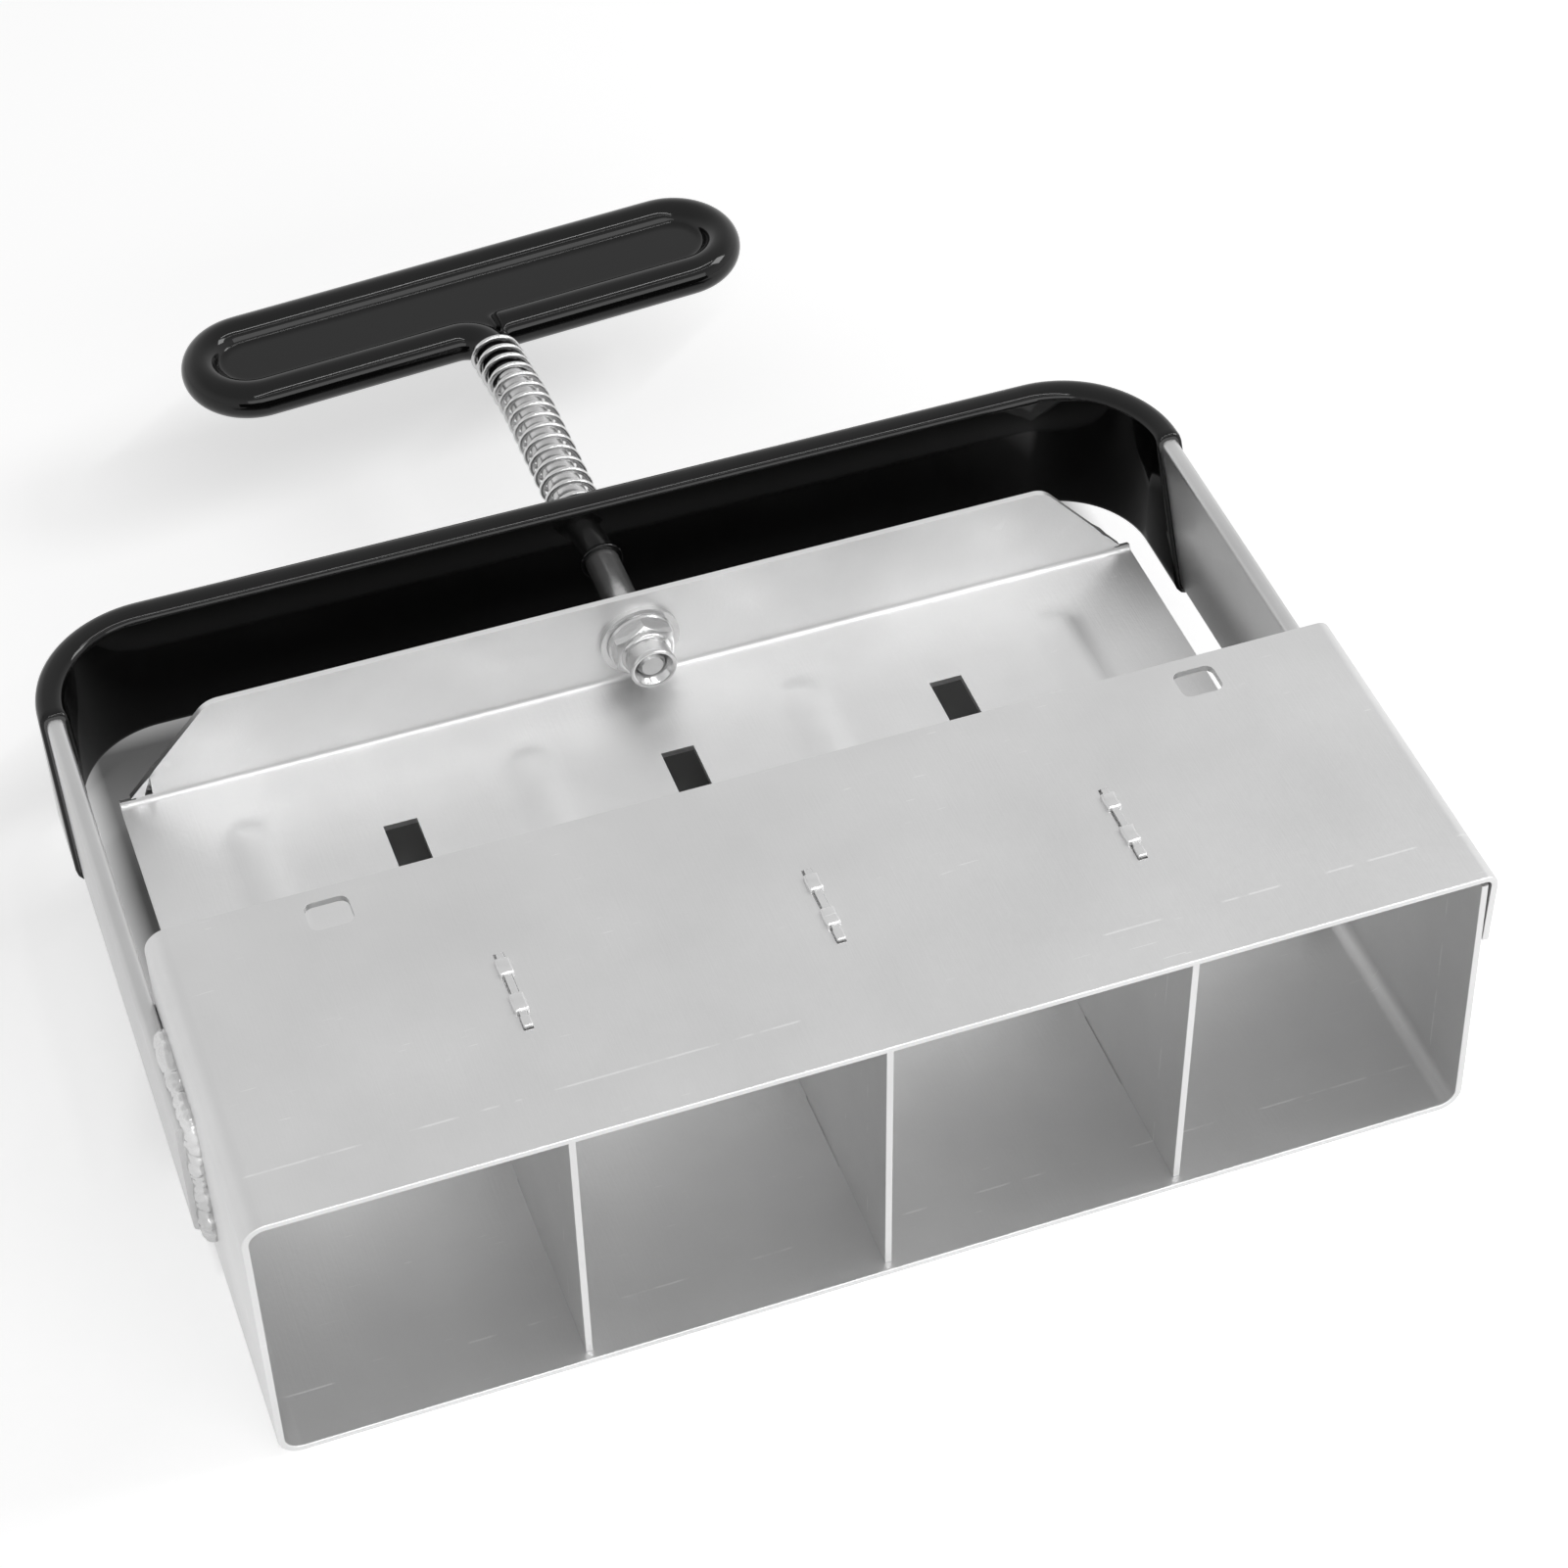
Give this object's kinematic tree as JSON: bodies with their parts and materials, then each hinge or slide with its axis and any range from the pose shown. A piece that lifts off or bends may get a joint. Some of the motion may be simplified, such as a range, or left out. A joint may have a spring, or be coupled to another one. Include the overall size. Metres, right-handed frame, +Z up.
{
  "type": "soil blocker",
  "caption": "Hand soil blocker with a row of open cells, a strap handle and a sprung T-handle plunger whose slotted ejector pushes pressed soil blocks out of the cells.",
  "frame": {"origin": "on the table, under the middle of the tool's overall length and width", "axes": "+X along the row of cells, +Y from the cell mouths to the T-handle, +Z up from the table, with the tool lying on its back"},
  "size_m": [0.2164, 0.2506, 0.059],
  "materials": {
    "sheet_steel": "satin zinc-plated sheet",
    "bar_steel": "satin zinc-plated flat bar",
    "weld_metal": "rough bright weld bead",
    "black_dip": "glossy dipped black vinyl",
    "bright_steel": "bright zinc-plated nuts and washer",
    "rod_steel": "drawn round bar",
    "spring_wire": "bright spring wire"
  },
  "bodies": {
    "frame": {"mould_box": "sheet_steel", "divider_1": "sheet_steel", "divider_2": "sheet_steel", "divider_3": "sheet_steel", "handle_strap": "bar_steel", "strap_grip": "black_dip", "left_weld": "weld_metal", "right_weld": "weld_metal", "spring": "spring_wire"},
    "plunger": {"ejector": "sheet_steel", "presser_plate_1": "sheet_steel", "presser_plate_2": "sheet_steel", "presser_plate_3": "sheet_steel", "presser_plate_4": "sheet_steel", "seed_pin_1": "bright_steel", "seed_pin_2": "bright_steel", "seed_pin_3": "bright_steel", "seed_pin_4": "bright_steel", "push_rod": "rod_steel", "jam_nut": "bright_steel", "nut_washer": "bright_steel", "flange_nut": "bright_steel", "t_handle": "bar_steel", "t_handle_grip": "black_dip"}
  },
  "joints": [
    {"name": "plunger_slide", "type": "slide", "parent": "frame", "child": "plunger", "axis": [0, -1, 0], "range_m": [0, 0.038], "stiffness_N_per_m": 700, "deforming": ["spring"]}
  ]
}
